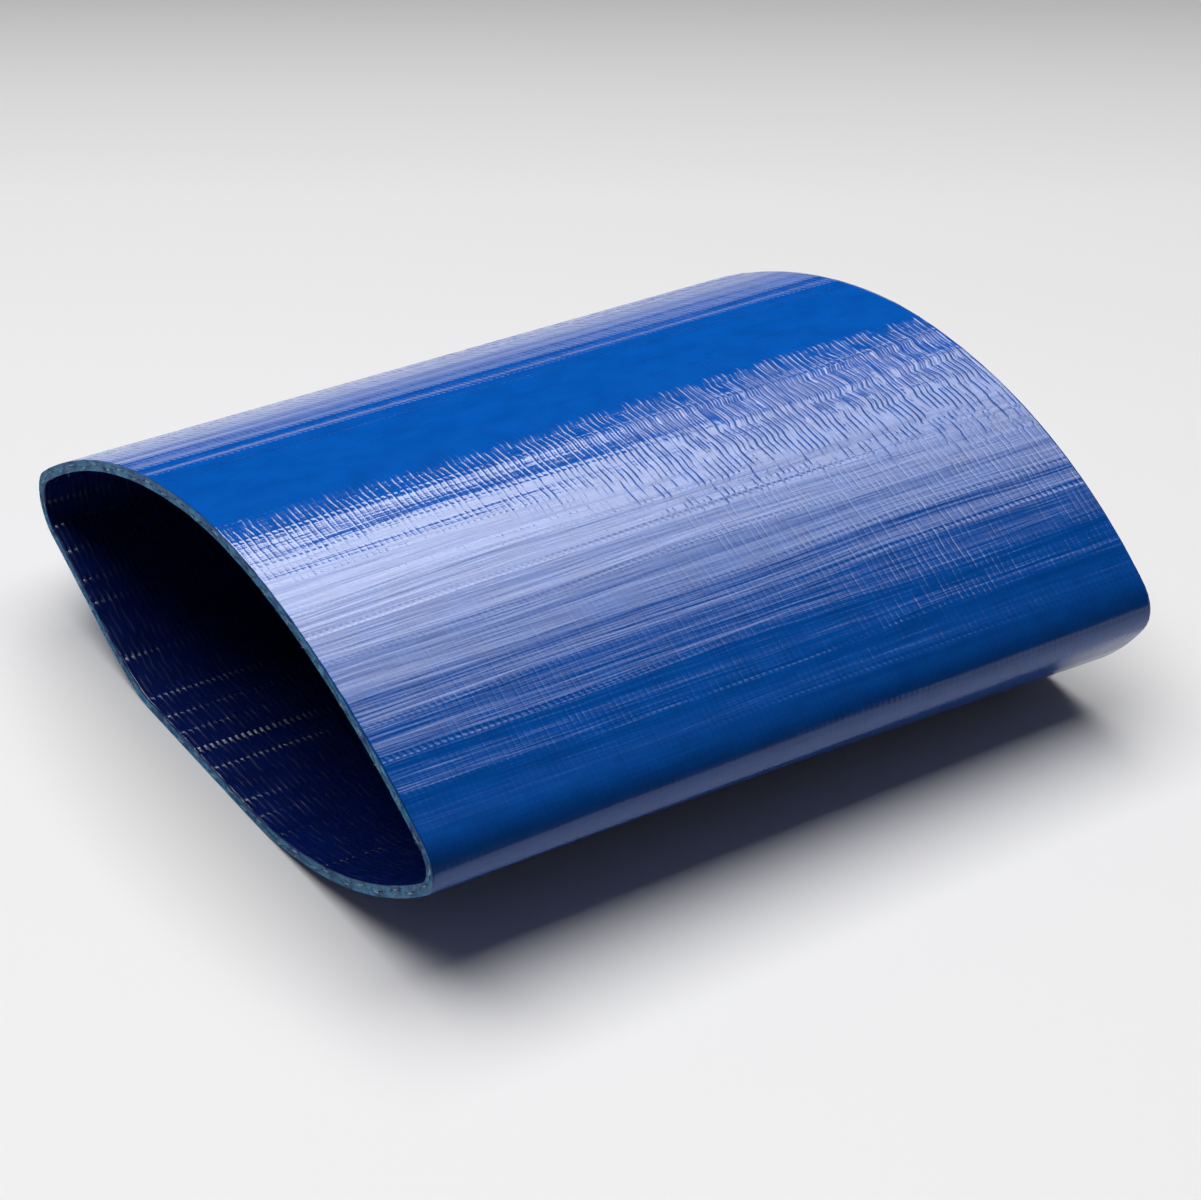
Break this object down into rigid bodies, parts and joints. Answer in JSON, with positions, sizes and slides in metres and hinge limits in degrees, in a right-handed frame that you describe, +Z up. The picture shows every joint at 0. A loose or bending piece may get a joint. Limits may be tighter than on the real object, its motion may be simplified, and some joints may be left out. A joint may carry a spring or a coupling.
{
  "type": "layflat hose length",
  "caption": "Short cut length of blue PVC layflat hose, open at both ends, sprung half open on its two fold creases, with yarn plies between cover and liner.",
  "frame": {"origin": "on the resting plane, under the middle of the piece's box", "axes": "+Y along the hose from the nearer cut to the farther cut, +X towards the right-hand fold crease, +Z up from the belly to the crown"},
  "size_m": [0.147, 0.145, 0.0555],
  "materials": {
    "cover_pvc": "glossy blue flexible PVC with fine ridges from the yarn below",
    "liner_pvc": "dark navy flexible PVC, satin, with fine ridges",
    "polyester_yarn": "matt off-white polyester filament yarn"
  },
  "bodies": {
    "root": {"outer_cover": "cover_pvc", "outer_warp_yarn_01": "polyester_yarn", "outer_warp_yarn_02": "polyester_yarn", "outer_warp_yarn_03": "polyester_yarn", "outer_warp_yarn_04": "polyester_yarn", "outer_warp_yarn_05": "polyester_yarn", "outer_warp_yarn_06": "polyester_yarn", "outer_warp_yarn_07": "polyester_yarn", "outer_warp_yarn_08": "polyester_yarn", "outer_warp_yarn_09": "polyester_yarn", "outer_warp_yarn_10": "polyester_yarn", "outer_warp_yarn_11": "polyester_yarn", "outer_warp_yarn_12": "polyester_yarn", "outer_warp_yarn_13": "polyester_yarn", "outer_warp_yarn_14": "polyester_yarn", "outer_warp_yarn_15": "polyester_yarn", "outer_warp_yarn_16": "polyester_yarn", "outer_warp_yarn_17": "polyester_yarn", "outer_warp_yarn_18": "polyester_yarn", "outer_warp_yarn_19": "polyester_yarn", "outer_warp_yarn_20": "polyester_yarn", "outer_warp_yarn_21": "polyester_yarn", "outer_warp_yarn_22": "polyester_yarn", "outer_warp_yarn_23": "polyester_yarn", "outer_warp_yarn_24": "polyester_yarn", "outer_warp_yarn_25": "polyester_yarn", "outer_warp_yarn_26": "polyester_yarn", "weft_winding": "polyester_yarn", "inner_warp_yarn_01": "polyester_yarn", "inner_warp_yarn_02": "polyester_yarn", "inner_warp_yarn_03": "polyester_yarn", "inner_warp_yarn_04": "polyester_yarn", "inner_warp_yarn_05": "polyester_yarn", "inner_warp_yarn_06": "polyester_yarn", "inner_warp_yarn_07": "polyester_yarn", "inner_warp_yarn_08": "polyester_yarn", "inner_warp_yarn_09": "polyester_yarn", "inner_warp_yarn_10": "polyester_yarn", "inner_warp_yarn_11": "polyester_yarn", "inner_warp_yarn_12": "polyester_yarn", "inner_warp_yarn_13": "polyester_yarn", "inner_warp_yarn_14": "polyester_yarn", "inner_warp_yarn_15": "polyester_yarn", "inner_warp_yarn_16": "polyester_yarn", "inner_warp_yarn_17": "polyester_yarn", "inner_warp_yarn_18": "polyester_yarn", "inner_warp_yarn_19": "polyester_yarn", "inner_warp_yarn_20": "polyester_yarn", "inner_warp_yarn_21": "polyester_yarn", "inner_warp_yarn_22": "polyester_yarn", "inner_warp_yarn_23": "polyester_yarn", "inner_warp_yarn_24": "polyester_yarn", "inner_warp_yarn_25": "polyester_yarn", "inner_warp_yarn_26": "polyester_yarn", "inner_liner": "liner_pvc"}
  },
  "joints": []
}
